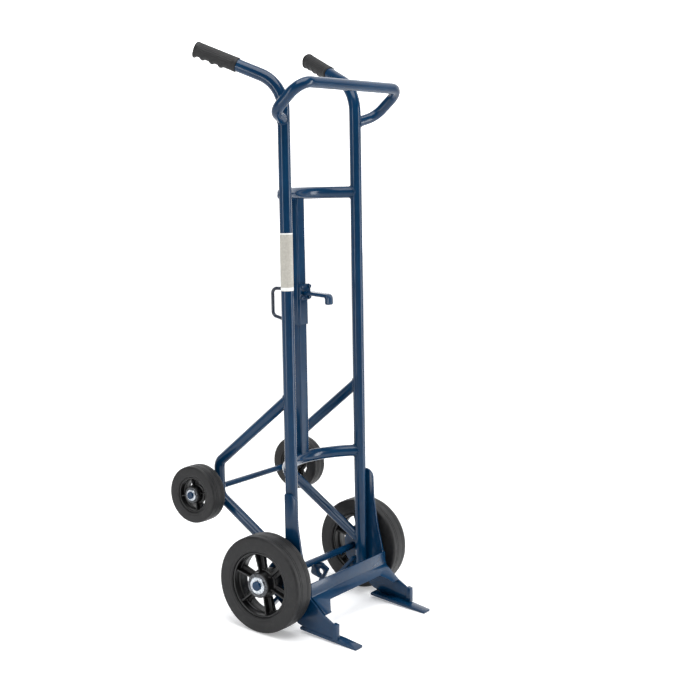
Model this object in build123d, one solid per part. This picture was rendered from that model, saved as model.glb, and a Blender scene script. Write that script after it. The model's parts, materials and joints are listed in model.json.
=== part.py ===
from build123d import *
import math
import os

# A four-wheel drum hand truck.  It stands on its two front wheels, the tips of its two toe prongs
# and two stand feet behind the axle, so the tube frame leans back a few degrees.
# Built in the truck's own axes, in millimetres: X across (+X is the operator's left when they
# hold the grips), -Y towards the drum, Z along the uprights, then leaned onto the floor.
# In the finished model the floor is Z = 0 and the origin is the middle of the footprint.

# ---- driving dimensions ----
UPRIGHT_SPACING = 314.0        # between the centre lines of the uprights
UPRIGHT_DIA = 31.75
RAIL_DIA = 28.0                # top loop and rear tubes
TUBE_WALL = 2.6
HANDLE_CORNER_Z = 1388.0       # where the upright and handle centre lines would meet
HANDLE_BEND_RADIUS = 92.0
HANDLE_REACH = 240.0           # length of the handle along its own line
HANDLE_RISE = 22.5             # degrees above the truck's horizontal
HANDLE_SPLAY = 20.5            # degrees outwards
FRONT_WHEEL_DIA = 254.0
FRONT_WHEEL_WIDTH = 62.0
FRONT_WHEEL_X = 224.5          # middle of the tread
FRONT_AXLE_Y = 39.4            # behind the uprights
FRONT_AXLE_DIA = 19.05
REAR_WHEEL_DIA = 152.4
REAR_WHEEL_WIDTH = 49.0
REAR_WHEEL_X = 224.0
REAR_AXLE_Y = 260.5
REAR_AXLE_Z = 333.5
REAR_AXLE_DIA = 15.9
RUNNING_GAP = 0.06             # radial clearance of a wheel bearing on its axle

# ---- cast hubs ----
FRONT_RIM_DIA = 172.0
FRONT_RIM_THICK = 6.0
FRONT_BOSS_DIA = 68.0
FRONT_BUSH_DIA = 50.0
FRONT_BUSH_WIDTH = 14.0
FRONT_SPOKES = 6
FRONT_SPOKE_WIDTH = 24.0
FRONT_WEB = 7.0
FRONT_HUB_TURN = -11.0         # degrees about X that the first spoke is off the truck's Z
REAR_RIM_DIA = 94.0
REAR_RIM_THICK = 4.5
REAR_BOSS_DIA = 46.0
REAR_BUSH_DIA = 30.0
REAR_BUSH_WIDTH = 10.0
REAR_SPOKES = 4
REAR_SPOKE_WIDTH = 16.0
REAR_WEB = 5.0
REAR_HUB_TURN = -12.0

UPRIGHT_X = UPRIGHT_SPACING / 2
UPRIGHT_R = UPRIGHT_DIA / 2
RAIL_R = RAIL_DIA / 2
FRONT_WHEEL_R = FRONT_WHEEL_DIA / 2
FRONT_AXLE_Z = FRONT_WHEEL_R
UPRIGHT_BOTTOM_Z = 46.0

# ---- cross members and mast ----
CROSSBAR_BOW = 78.0            # how far the middle of a crossbar stands behind the uprights
UPPER_CROSSBAR_Z = 1116.0
LOWER_CROSSBAR_Z = 408.0
MAST_SIZE = 34.0
MAST_WALL = 2.5
MAST_Y = CROSSBAR_BOW + 8

MAST_CORNER = 4.0
MAST_INSET = 6.0               # between a crossbar's centre and the mast's coped end
LOOP_WIDTH = 446.0
LOOP_START_Y = 0.0
LOOP_START_Z = 1298.0
LOOP_CLIMB = 40.6              # degrees the loop rises forwards
LOOP_REACH = 134.5
LOOP_SHOULDER = 31.0
LOOP_SHOULDER_RADIUS = 42.0
LOOP_CORNER_RADIUS = 42.0
REAR_TUBE_TOP_Z = 602.0
REAR_TUBE_KNEE_Y = 240.0
REAR_TUBE_KNEE_HIGH_Z = 408.0
REAR_TUBE_KNEE_LOW_Z = 318.0
REAR_TUBE_FOOT_Z = 152.0
REAR_TUBE_RADIUS = 30.0

# ---- hook carriage, at its resting height ----
CARRIAGE_LOW_Z = 770.0
CARRIAGE_HIGH_Z = 878.0
CARRIAGE_WALL = 3.2
CARRIAGE_GAP = 0.8             # sliding gap round the mast
HOOK_TIP_Y = -21.0
HOOK_TIP_Z = 826.0
HOOK_NOSE_Z = 849.0            # the arm slopes down to here
HOOK_WIDTH = 25.0
HOOK_THICK = 9.0
HOOK_ARM_Z = 855.0
PULL_ROD_DIA = 9.0
PULL_BACK_Y = 169.0

PULL_TOP_Z = 863.0
PULL_LOW_Z = 790.0
PULL_FOOT_Z = 774.0
BRACKET_THICK = 6.0
BRACKET_WIDTH = 44.0
BRACKET_HEIGHT = 42.0
BRACKET_Z = 857.0
BOLT_DIA = 6.0
BOLT_HEAD = 10.0
BOLT_X = 16.0
BOLT_RISE = 14.0

# ---- axle ends ----
FRONT_BOSS_WIDTH = 63.0
REAR_BOSS_WIDTH = 49.6
WASHER_THICK = 3.0
CAP_THICK = 5.5
END_PLAY = 0.3                 # between a hub and the washers beside it
FRONT_WASHER_DIA = 45.0
FRONT_CAP_DIA = 25.0
REAR_WASHER_DIA = 30.0
REAR_CAP_DIA = 19.0
FRONT_SPACER_DIA = 30.0
REAR_SPACER_DIA = 24.0

# ---- base ----
PLATE_THICK = 6.4
TOE_THICK = 9.0
TOE_WIDTH = 32.0
TOE_TIP = (-208.8, -21.7)      # (y, z) of the toe's lower front edge
TOE_LENGTH = 176.0
TOE_SLOPE = 7.8                # degrees the toe slopes down to its tip
TOE_TIP_THICK = 5.5
TOE_TAPER = 57.0               # length over which the toe thins to its tip
TOE_OVERHANG = 1.0             # how far the toe stands outside the side plate
TOE_POST_WIDTH = 15.0
TOE_POST_DEPTH = 12.0
TOE_POST_Y = -152.0
TOE_POST_TOP_Z = 37.0
CROSS_PLATE_THICK = 5.0
CROSS_PLATE_WINDOW = 236.0
CROSS_PLATE_WINDOW_FOOT = 318.0
CROSS_PLATE_WINDOW_Z = 74.5
CROSS_PLATE_FOOT_Z = 46.0
LEG_X = 152.0                  # stand leg and pad
LEG_WIDTH = 24.0
LEG_THICK = 8.0
LEG_TOP = (-24.0, 105.0)       # (y, z) from the point on the floor under the front axle
LEG_FOOT = (52.0, 9.0)
PAD_WIDTH = 28.0
PAD_LENGTH = 34.0
PAD_HEIGHT = 18.0
LUG_THICK = 8.0
LUG_HOLE_DIA = 16.0
LUG_HOLE = (24.0, 100.0)
LABEL_LOW_Z = 875.0
LABEL_HIGH_Z = 1020.0
LABEL_THICK = 0.4

# ---- grips ----
GRIP_LENGTH = 118.0
GRIP_WALL = 2.4
GRIP_OVERHANG = 4.0
RIDGE_COUNT = 3                # finger ridges under each grip
RIDGE_START = 26.0
RIDGE_PITCH = 26.0
RIDGE_DROP = 3.6
LIP_THICK = 5.0


def resting_lean():
    """How far the frame leans back, in radians, when its toe tips and front wheels touch the floor."""
    reach, drop = FRONT_AXLE_Y - TOE_TIP[0], FRONT_AXLE_Z - TOE_TIP[1]
    return math.atan2(drop, reach) - math.asin(FRONT_WHEEL_R / math.hypot(reach, drop))


lean = resting_lean()
FOOTPRINT_MIDDLE_Y = 26.7      # from the front axle to the middle of the bounding box
ON_FLOOR = (Pos(0, -FOOTPRINT_MIDDLE_Y, FRONT_WHEEL_R) * Rot(-math.degrees(lean), 0, 0)
            * Pos(0, -FRONT_AXLE_Y, -FRONT_AXLE_Z))

os.makedirs("parts", exist_ok=True)


def save(name, shape, place=ON_FLOOR):
    """Place a sub-part on the floor and write it as one STEP file."""
    solids = (place * shape).solids()
    export_step(solids[0] if len(solids) == 1 else Compound(children=list(solids)),
                f"parts/{name}.step")


def both_sides(name, shape, place=ON_FLOOR):
    """Write a right-hand sub-part (X below zero) and its mirror image."""
    save(f"right_{name}", shape, place)
    save(f"left_{name}", mirror(shape, Plane.YZ), place)


def rod(path, diameter):
    """A round bar along a wire."""
    start = Plane(origin=path @ 0, z_dir=path % 0)
    return sweep(start * Circle(diameter / 2), path=path)


def tube(path, diameter, wall=TUBE_WALL):
    """A round tube along a wire, as (the tube, its filled outer shape)."""
    outer = rod(path, diameter)
    return outer - rod(path, diameter - 2 * wall), outer


def bar_x(diameter, x_from, x_to, y, z):
    """A round bar along X."""
    length = x_to - x_from
    return Pos((x_from + x_to) / 2, y, z) * Rot(0, 90, 0) * Cylinder(diameter / 2, length)


def ring_x(outer_dia, inner_dia, x_from, x_to, y, z):
    """A round ring whose axis lies along X."""
    return bar_x(outer_dia, x_from, x_to, y, z) - bar_x(inner_dia, x_from - 1, x_to + 1, y, z)


def slab_x(outline, x_from, x_to, radii=None):
    """A flat plate cut to an outline of (y, z) points, between two X faces."""
    points = [(0, y, z) for y, z in outline]
    if radii:
        wire = FilletPolyline(*points, radius=radii, close=True)
    else:
        wire = Polyline(*points, close=True)
    face = make_face(wire)
    return Pos(x_from, 0, 0) * extrude(face, amount=x_to - x_from, dir=(1, 0, 0))


def strap(points, radius, width, thickness, x_middle):
    """A flat bar bent along (y, z) points, its width across X."""
    path = FilletPolyline(*[(x_middle, y, z) for y, z in points], radius=radius)
    start = Plane(origin=path @ 0, x_dir=(1, 0, 0), z_dir=path % 0)
    return sweep(start * Rectangle(width, thickness), path=path)


# ---- tube frame ----
def handle_direction():
    """The unit direction of the right-hand handle, away from its corner."""
    rise, splay = math.radians(HANDLE_RISE), math.radians(HANDLE_SPLAY)
    flat = math.cos(rise)
    return Vector(-math.sin(splay) * flat, math.cos(splay) * flat, math.sin(rise))


def upright():
    """The right-hand upright with its swept-back handle."""
    corner = Vector(-UPRIGHT_X, 0, HANDLE_CORNER_Z)
    end = corner + handle_direction() * HANDLE_REACH
    path = FilletPolyline((-UPRIGHT_X, 0, UPRIGHT_BOTTOM_Z), tuple(corner), tuple(end),
                          radius=HANDLE_BEND_RADIUS)
    return tube(path, UPRIGHT_DIA)


def grip():
    """A rubber grip with finger ridges beneath and a lower lip at its closed end."""
    direction = handle_direction()
    end = Vector(-UPRIGHT_X, 0, HANDLE_CORNER_Z) + direction * HANDLE_REACH
    sideways = Vector(0, 0, 1).cross(direction).normalized()
    base = Plane(origin=end + direction * GRIP_OVERHANG, x_dir=sideways, z_dir=-direction)
    outer_r = UPRIGHT_R + GRIP_WALL
    seam_away = Rot(0, 0, -90)     # keeps every cylinder's seam on the side without ridges
    body = seam_away * Cylinder(outer_r, GRIP_LENGTH,
                                align=(Align.CENTER, Align.CENTER, Align.MIN))
    body += Pos(0, RIDGE_DROP, LIP_THICK / 2) * seam_away * Cylinder(outer_r, LIP_THICK)
    for step in range(RIDGE_COUNT):
        height = RIDGE_START + RIDGE_PITCH * step
        body += Pos(0, RIDGE_DROP, height) * seam_away * Cylinder(outer_r, 9)
    hollow = Pos(0, 0, GRIP_OVERHANG) * seam_away * Cylinder(
        UPRIGHT_R, GRIP_LENGTH, align=(Align.CENTER, Align.CENTER, Align.MIN))
    return base * (body - hollow)


def bowed_crossbar(z):
    """A crossbar bowed backwards between the uprights, coped to fit against them."""
    path = ThreePointArc((-UPRIGHT_X, 0, z), (0, CROSSBAR_BOW, z), (UPRIGHT_X, 0, z))
    pipe, outer = tube(path, UPRIGHT_DIA)
    for side in (-1, 1):
        pipe -= Pos(side * UPRIGHT_X, 0, z) * Cylinder(UPRIGHT_R, 4 * UPRIGHT_DIA)
    return largest(pipe), outer


def largest(shape):
    """The biggest solid of a shape, without the crumbs a coped end leaves."""
    return max(shape.solids(), key=lambda solid: solid.volume)


def top_loop(uprights):
    """The U-shaped bar in front of the handles, welded to the outer sides of the uprights."""
    climb = math.radians(LOOP_CLIMB)
    drop = Plane(origin=(0, LOOP_START_Y, LOOP_START_Z), x_dir=(1, 0, 0),
                 z_dir=(0, math.sin(climb), math.cos(climb)))
    half = LOOP_WIDTH / 2
    outline = [(-UPRIGHT_X, 0), (-half, LOOP_SHOULDER), (-half, LOOP_REACH),
               (half, LOOP_REACH), (half, LOOP_SHOULDER), (UPRIGHT_X, 0)]
    points = [tuple(drop.from_local_coords((x, -reach, 0))) for x, reach in outline]
    path = FilletPolyline(*points, radius=[LOOP_SHOULDER_RADIUS, LOOP_CORNER_RADIUS,
                                           LOOP_CORNER_RADIUS, LOOP_SHOULDER_RADIUS])
    pipe = tube(path, RAIL_DIA)[0]
    for outer in uprights:
        pipe -= outer
    return largest(pipe)


def mast(crossbar_outers):
    """The square tube that the hook carriage slides on."""
    height = UPPER_CROSSBAR_Z - LOWER_CROSSBAR_Z - 2 * MAST_INSET
    middle = (UPPER_CROSSBAR_Z + LOWER_CROSSBAR_Z) / 2
    block = Pos(0, MAST_Y, middle) * square_bar(MAST_SIZE, height, MAST_CORNER)
    block -= Pos(0, MAST_Y, middle) * square_bar(MAST_SIZE - 2 * MAST_WALL, height + 2,
                                                 MAST_CORNER - MAST_WALL + 1)
    for outer in crossbar_outers:
        block -= outer
    return largest(block)


def square_bar(size, length, corner):
    """An upright square bar with rounded corners, centred on the origin."""
    return Pos(0, 0, -length / 2) * extrude(RectangleRounded(size, size, corner), amount=length)


def rear_tube(upright_outer, axle):
    """The bent tube that runs back from the upright to the rear axle and down to the base."""
    path = FilletPolyline((-UPRIGHT_X, 0, REAR_TUBE_TOP_Z),
                          (-UPRIGHT_X, REAR_TUBE_KNEE_Y, REAR_TUBE_KNEE_HIGH_Z),
                          (-UPRIGHT_X, REAR_TUBE_KNEE_Y, REAR_TUBE_KNEE_LOW_Z),
                          (-UPRIGHT_X, 0, REAR_TUBE_FOOT_Z), radius=REAR_TUBE_RADIUS)
    return largest(tube(path, RAIL_DIA)[0] - upright_outer - axle)


# ---- base ----
def from_floor(y, z):
    """Turn (y, z) measured from the point under the front axle into the truck's own axes."""
    return (FRONT_AXLE_Y + y * math.cos(lean) - (z - FRONT_WHEEL_R) * math.sin(lean),
            FRONT_AXLE_Z + (z - FRONT_WHEEL_R) * math.cos(lean) + y * math.sin(lean))


def on_toe(back, height=TOE_THICK):
    """The (y, z) point this far behind the toe's tip and this far above its underside."""
    slope = math.radians(TOE_SLOPE)
    return (TOE_TIP[0] + back * math.cos(slope) - height * math.sin(slope),
            TOE_TIP[1] + back * math.sin(slope) + height * math.cos(slope))


def side_plate(axle):
    """The right-hand side plate: it carries the front axle and stands on the toe."""
    outline = [(7, 355), (-30, 355), (-33, 272), (-43, 205), (-69, 88), (-110, 52),
               (TOE_POST_Y + TOE_POST_DEPTH, 34), on_toe(68), on_toe(160), (-30, 16), (2, 40),
               (62, 92), (68, 150), (7, 212)]
    radii = [4, 26, 40, 60, 12, 20, 8, 1, 2, 8, 20, 26, 26, 30]
    plate = slab_x(outline, -UPRIGHT_X - UPRIGHT_R - PLATE_THICK, -UPRIGHT_X - UPRIGHT_R, radii)
    return plate - axle


def cross_plate():
    """The creased plate between the side plates, with a tab down to each toe."""
    half = UPRIGHT_X + UPRIGHT_R
    sheet = strap([(-67, 126), (-67, 91), (-111, 51)], 6, 2 * half, CROSS_PLATE_THICK, 0)
    top, foot = CROSS_PLATE_WINDOW / 2, CROSS_PLATE_WINDOW_FOOT / 2
    arch = FilletPolyline((-foot, 0, CROSS_PLATE_FOOT_Z), (-top, 0, CROSS_PLATE_WINDOW_Z),
                          (top, 0, CROSS_PLATE_WINDOW_Z), (foot, 0, CROSS_PLATE_FOOT_Z),
                          radius=[6, 8, 8, 6], close=True)
    window = Pos(0, -150, 0) * extrude(make_face(arch), amount=80, dir=(0, 1, 0))
    return largest(sheet - window)


def toe():
    """The right-hand toe prong: a flat bar that thins from the toe post to its rounded tip."""
    outline = [(0, 0), (TOE_LENGTH, 0), (TOE_LENGTH, TOE_THICK), (TOE_TAPER, TOE_THICK),
               (0, TOE_TIP_THICK)]
    outer_x = -UPRIGHT_X - UPRIGHT_R - PLATE_THICK - TOE_OVERHANG
    bar = slab_x(outline, outer_x, outer_x + TOE_WIDTH)
    bar = fillet(bar.edges().filter_by(Axis.Z).group_by(Axis.Y)[0], 3)
    bar = fillet(bar.edges().filter_by(Axis.X).group_by(Axis.Y)[-1], 4)
    return Pos(0, *TOE_TIP) * Rot(TOE_SLOPE, 0, 0) * bar


def toe_post(plate, toe_bar):
    """The block that joins the side plate's nose to the toe."""
    middle = -UPRIGHT_X - UPRIGHT_R - PLATE_THICK / 2
    y_near, y_far = TOE_POST_Y, TOE_POST_Y + TOE_POST_DEPTH
    slope = math.tan(math.radians(TOE_SLOPE))
    foot = on_toe(0)
    outline = [(y_near, foot[1] + (y_near - foot[0]) * slope),
               (y_far, foot[1] + (y_far - foot[0]) * slope),
               (y_far, TOE_POST_TOP_Z), (y_near, TOE_POST_TOP_Z - 3)]
    block = slab_x(outline, middle - TOE_POST_WIDTH / 2, middle + TOE_POST_WIDTH / 2, 0.8)
    return largest(block - plate - toe_bar)


def stand_leg(upright_outer):
    """The right-hand stand leg: a flat bar from the foot of the upright to the stand pad."""
    points = [from_floor(*LEG_TOP), from_floor(*LEG_FOOT)]
    path = Polyline(*[(-LEG_X, y, z) for y, z in points])
    start = Plane(origin=path @ 0, x_dir=(1, 0, 0), z_dir=path % 0)
    bar = sweep(start * Rectangle(LEG_WIDTH, LEG_THICK), path=path)
    return largest(bar - upright_outer - stand_pad())


def stand_pad():
    """The block on the floor at the foot of the right-hand stand leg."""
    block = Box(PAD_WIDTH, PAD_LENGTH, PAD_HEIGHT, align=(Align.CENTER, Align.MIN, Align.MIN))
    block = fillet(block.edges().filter_by(Axis.X).group_by(Axis.Z)[-1], 4)
    y, z = from_floor(LEG_FOOT[0], 0)
    return Pos(-LEG_X, y, z) * Rot(math.degrees(lean), 0, 0) * block


def axle_lug(axle):
    """The lug with a hole that hangs under the middle of the front axle."""
    outline = [(52, 122), (20, 124), (-1, 110), (17, 77), (58, 90)]
    plate = slab_x(outline, -LUG_THICK / 2, LUG_THICK / 2, [4, 4, 3, 5, 8])
    return largest(plate - axle - bar_x(LUG_HOLE_DIA, -20, 20, *LUG_HOLE))


def label():
    """The blank sticker wrapped round the outside of the right-hand upright."""
    height = LABEL_HIGH_Z - LABEL_LOW_Z
    wrap = Cylinder(UPRIGHT_R + LABEL_THICK, height) - Cylinder(UPRIGHT_R, height + 2)
    wrap -= Rot(0, 0, -30) * Pos(UPRIGHT_DIA, UPRIGHT_DIA / 2, 0) * Box(
        2 * UPRIGHT_DIA, 1.4 * UPRIGHT_DIA, height + 2)
    return Pos(-UPRIGHT_X, 0, (LABEL_LOW_Z + LABEL_HIGH_Z) / 2) * largest(wrap)


# ---- hook carriage ----
def carriage_sleeve():
    """The square sleeve that slides on the mast."""
    inner = MAST_SIZE + 2 * CARRIAGE_GAP
    outer = inner + 2 * CARRIAGE_WALL
    height = CARRIAGE_HIGH_Z - CARRIAGE_LOW_Z
    place = Pos(0, MAST_Y, (CARRIAGE_HIGH_Z + CARRIAGE_LOW_Z) / 2)
    return place * (square_bar(outer, height, MAST_CORNER + CARRIAGE_WALL)
                    - square_bar(inner, height + 2, MAST_CORNER))


def sleeve_face(side):
    """Y of the sleeve's front (side -1) or back (side 1) face."""
    return MAST_Y + side * (MAST_SIZE / 2 + CARRIAGE_GAP + CARRIAGE_WALL)


def hook_bracket():
    """The plate bolted on the front of the sleeve, with an ear at each side."""
    front = sleeve_face(-1)
    plate = Pos(0, front - BRACKET_THICK / 2, BRACKET_Z) * Box(
        BRACKET_WIDTH, BRACKET_THICK, BRACKET_HEIGHT)
    plate = fillet(plate.edges().filter_by(Axis.Y), 7)
    for x, z in bolt_places():
        plate -= Pos(x, front - BRACKET_THICK / 2, z) * Rot(90, 0, 0) * Cylinder(
            BOLT_DIA / 2, 3 * BRACKET_THICK)
    return plate


def bolt_places():
    """(x, z) of the four bolts that hold the hook bracket."""
    return [(side * BOLT_X, BRACKET_Z + rise * BOLT_RISE) for side in (-1, 1)
            for rise in (-1, 1)]


def bracket_bolts():
    """Four hexagon-headed bolts through the bracket's ears into the sleeve's cheeks."""
    front = sleeve_face(-1) - BRACKET_THICK
    head = extrude(RegularPolygon(BOLT_HEAD / 2, 6), amount=4)
    shank = Pos(0, 0, -BRACKET_THICK) * Cylinder(
        BOLT_DIA / 2, BRACKET_THICK, align=(Align.CENTER, Align.CENTER, Align.MIN))
    return Compound(children=[Pos(x, front, z) * Rot(90, 0, 0) * (head + shank)
                              for x, z in bolt_places()])


def hook_arm(bracket):
    """The flat chime hook: it reaches forward from the bracket and turns down at the tip."""
    start = sleeve_face(-1) - BRACKET_THICK
    tip_y = HOOK_TIP_Y + HOOK_THICK / 2
    bar = strap([(start, HOOK_ARM_Z), (tip_y, HOOK_NOSE_Z), (tip_y, HOOK_TIP_Z)], 9,
                HOOK_WIDTH, HOOK_THICK, 0)
    return largest(fillet(bar.edges().filter_by(Axis.Y).group_by(Axis.Z)[0], 6) - bracket)


def pull_handle():
    """The bent rod behind the sleeve that raises and lowers the hook."""
    back = sleeve_face(1)
    path = FilletPolyline((0, back, PULL_TOP_Z), (0, PULL_BACK_Y, PULL_TOP_Z),
                          (0, PULL_BACK_Y, PULL_LOW_Z), (0, back, PULL_FOOT_Z), radius=14)
    return rod(path, PULL_ROD_DIA) - Pos(0, MAST_Y, PULL_FOOT_Z) * Box(
        60, 2 * (back - MAST_Y), 80)


# ---- wheels ----
def ring(outer_r, inner_r, width):
    """A ring about X, centred on the origin."""
    return Rot(0, 90, 0) * (Cylinder(outer_r, width) - Cylinder(inner_r, width + 2))


def tyre(diameter, width, rim_dia):
    """A solid rubber tyre with rounded shoulders, moulded on its rim."""
    band = Rot(0, 90, 0) * Cylinder(diameter / 2, width)
    band = fillet(band.edges(), width * 0.2)
    return band - Rot(0, 90, 0) * Cylinder(rim_dia / 2, width + 2)


def hub(rim_dia, rim_width, rim_thick, boss_dia, boss_width, bore_dia, spokes, spoke_width, web):
    """A cast hub: rim, boss and a web with a window between each pair of ribbed spokes."""
    rim_r, boss_r = rim_dia / 2, boss_dia / 2
    body = ring(rim_r, rim_r - rim_thick, rim_width) + ring(boss_r, bore_dia / 2, boss_width)
    body += ring(rim_r, rim_r - 1.8 * rim_thick, web) + ring(boss_r * 1.15, boss_r / 2, 2 * web)
    reach = rim_r - rim_thick / 2 - boss_r * 0.8
    place = Pos(0, 0, boss_r * 0.8 + reach / 2)
    for index in range(spokes):
        turn = Rot(index * 360 / spokes, 0, 0)
        body += turn * place * Box(web, spoke_width, reach)
        body += turn * place * Box(rim_width * 0.8, web * 0.8, reach)
    return body - Rot(0, 90, 0) * Cylinder(bore_dia / 2, boss_width + rim_width)


def bearings(outer_dia, inner_dia, width, boss_width):
    """The pair of bearing bushes pressed into the two ends of a hub's boss."""
    middle = (boss_width - width) / 2
    return Compound(children=[Pos(side * middle, 0, 0) * ring(outer_dia / 2, inner_dia / 2, width)
                              for side in (-1, 1)])


def wheel(prefix, place, diameter, width, rim_dia, rim_thick, boss_dia, boss_width, bush_dia,
          bush_width, axle_dia, spokes, spoke_width, web, turn):
    """Write one wheel: its tyre, its hub and its bearings."""
    save(f"{prefix}_tyre", tyre(diameter, width, rim_dia), place)
    save(f"{prefix}_hub", hub(rim_dia, width * 0.86, rim_thick, boss_dia, boss_width, bush_dia,
                              spokes, spoke_width, web), place * Rot(turn, 0, 0))
    save(f"{prefix}_bearings", bearings(bush_dia, axle_dia + 2 * RUNNING_GAP, bush_width,
                                        boss_width), place)


def axle_fittings(prefix, wheel_x, boss_width, y, z, axle_dia, washer_dia, cap_dia, spacer_dia,
                  inner_x):
    """Write an axle with its spacers, washers and end caps; return the axle's solid."""
    washer_x = wheel_x + boss_width / 2 + END_PLAY
    cap_x = washer_x + WASHER_THICK
    hub_x = wheel_x - boss_width / 2 - END_PLAY
    rings = {"spacers": (spacer_dia, inner_x, hub_x), "washers": (washer_dia, washer_x, cap_x)}
    for name, (diameter, x_from, x_to) in rings.items():
        one = ring_x(diameter, axle_dia, x_from, x_to, y, z)
        save(f"{prefix}_{name}", Compound(children=[one, mirror(one, Plane.YZ)]))
    cap = bar_x(cap_dia, cap_x, cap_x + CAP_THICK, y, z)
    cap = fillet(cap.edges().group_by(Axis.X)[-1], CAP_THICK * 0.45)
    save(f"{prefix}_caps", Compound(children=[cap, mirror(cap, Plane.YZ)]))
    axle = bar_x(axle_dia, -cap_x, cap_x, y, z)
    save(prefix, axle)
    return axle


# ---- write every sub-part ----
front_axle = axle_fittings("front_axle", FRONT_WHEEL_X, FRONT_BOSS_WIDTH, FRONT_AXLE_Y,
                           FRONT_AXLE_Z, FRONT_AXLE_DIA, FRONT_WASHER_DIA, FRONT_CAP_DIA,
                           FRONT_SPACER_DIA, UPRIGHT_X + UPRIGHT_R + PLATE_THICK)
rear_axle = axle_fittings("rear_axle", REAR_WHEEL_X, REAR_BOSS_WIDTH, REAR_AXLE_Y, REAR_AXLE_Z,
                          REAR_AXLE_DIA, REAR_WASHER_DIA, REAR_CAP_DIA, REAR_SPACER_DIA,
                          UPRIGHT_X + RAIL_R)
upright_tube, upright_outer = upright()
upright_outers = [upright_outer, mirror(upright_outer, Plane.YZ)]
upper_crossbar, upper_outer = bowed_crossbar(UPPER_CROSSBAR_Z)
lower_crossbar, lower_outer = bowed_crossbar(LOWER_CROSSBAR_Z)
right_plate = side_plate(front_axle)
right_toe = toe()
bracket = hook_bracket()

both_sides("upright", upright_tube)
both_sides("grip", grip())
save("label", label())
save("upper_crossbar", upper_crossbar)
save("lower_crossbar", lower_crossbar)
save("top_loop", top_loop(upright_outers))
save("mast", mast([upper_outer, lower_outer]))
both_sides("rear_tube", rear_tube(upright_outer, rear_axle))
both_sides("side_plate", right_plate)
save("cross_plate", cross_plate())
both_sides("toe", right_toe)
both_sides("toe_post", toe_post(right_plate, right_toe))
both_sides("stand_leg", stand_leg(upright_outer))
both_sides("stand_pad", stand_pad())
save("axle_lug", axle_lug(front_axle))
save("carriage_sleeve", carriage_sleeve())
save("hook_bracket", bracket)
save("bracket_bolts", bracket_bolts())
save("hook_arm", hook_arm(bracket))
save("pull_handle", pull_handle())
for side, hand in ((-1, "right"), (1, "left")):
    wheel(f"front_{hand}", ON_FLOOR * Pos(side * FRONT_WHEEL_X, FRONT_AXLE_Y, FRONT_AXLE_Z),
          diameter=FRONT_WHEEL_DIA, width=FRONT_WHEEL_WIDTH, rim_dia=FRONT_RIM_DIA,
          rim_thick=FRONT_RIM_THICK, boss_dia=FRONT_BOSS_DIA, boss_width=FRONT_BOSS_WIDTH,
          bush_dia=FRONT_BUSH_DIA, bush_width=FRONT_BUSH_WIDTH, axle_dia=FRONT_AXLE_DIA,
          spokes=FRONT_SPOKES, spoke_width=FRONT_SPOKE_WIDTH, web=FRONT_WEB,
          turn=FRONT_HUB_TURN)
    wheel(f"rear_{hand}", ON_FLOOR * Pos(side * REAR_WHEEL_X, REAR_AXLE_Y, REAR_AXLE_Z),
          diameter=REAR_WHEEL_DIA, width=REAR_WHEEL_WIDTH, rim_dia=REAR_RIM_DIA,
          rim_thick=REAR_RIM_THICK, boss_dia=REAR_BOSS_DIA, boss_width=REAR_BOSS_WIDTH,
          bush_dia=REAR_BUSH_DIA, bush_width=REAR_BUSH_WIDTH, axle_dia=REAR_AXLE_DIA,
          spokes=REAR_SPOKES, spoke_width=REAR_SPOKE_WIDTH, web=REAR_WEB,
          turn=REAR_HUB_TURN)
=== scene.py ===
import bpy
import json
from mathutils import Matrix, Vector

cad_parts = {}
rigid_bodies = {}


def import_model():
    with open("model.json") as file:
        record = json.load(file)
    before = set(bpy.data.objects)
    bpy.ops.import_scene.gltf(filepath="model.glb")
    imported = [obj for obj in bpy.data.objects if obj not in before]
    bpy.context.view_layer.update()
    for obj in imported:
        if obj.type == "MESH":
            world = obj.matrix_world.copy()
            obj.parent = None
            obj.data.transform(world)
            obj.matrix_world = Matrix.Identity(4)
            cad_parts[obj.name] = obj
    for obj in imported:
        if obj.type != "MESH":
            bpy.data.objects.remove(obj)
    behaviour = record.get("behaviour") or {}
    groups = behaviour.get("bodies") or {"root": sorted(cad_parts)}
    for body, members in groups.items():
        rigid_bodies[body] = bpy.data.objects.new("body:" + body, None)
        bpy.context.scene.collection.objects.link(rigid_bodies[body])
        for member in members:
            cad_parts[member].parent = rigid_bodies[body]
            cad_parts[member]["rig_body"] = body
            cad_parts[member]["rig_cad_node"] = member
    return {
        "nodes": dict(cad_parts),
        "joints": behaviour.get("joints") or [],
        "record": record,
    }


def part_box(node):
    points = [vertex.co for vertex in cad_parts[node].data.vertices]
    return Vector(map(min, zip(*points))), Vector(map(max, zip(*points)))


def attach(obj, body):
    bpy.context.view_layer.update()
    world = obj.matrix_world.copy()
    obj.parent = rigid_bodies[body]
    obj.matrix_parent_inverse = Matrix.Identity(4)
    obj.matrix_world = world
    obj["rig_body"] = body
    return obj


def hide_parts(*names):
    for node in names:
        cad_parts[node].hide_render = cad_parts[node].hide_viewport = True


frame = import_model()

"""Looks of a four-wheel drum hand truck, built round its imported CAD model, in metres.

The tube frame leans back a few degrees; "along the uprights" below means along the hook's slide.
"""
import json
import logging
import math
from collections.abc import Callable, Iterator
from contextlib import contextmanager
from dataclasses import dataclass, field
from enum import Enum

import bpy
from mathutils import Matrix, Vector

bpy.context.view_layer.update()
MM = 0.001

logging.basicConfig(level=logging.INFO, format="%(message)s")
log = logging.getLogger("drum_truck")


class Slot(Enum):
    """The record's finishes."""

    BLUE = "blue_enamel"
    DARK = "dark_enamel"
    HUB = "cast_hub"
    TYRE = "tyre_rubber"
    GRIP = "grip_rubber"
    BEARING = "bearing_steel"
    ZINC = "zinc_steel"
    LABEL = "label_vinyl"


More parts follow.
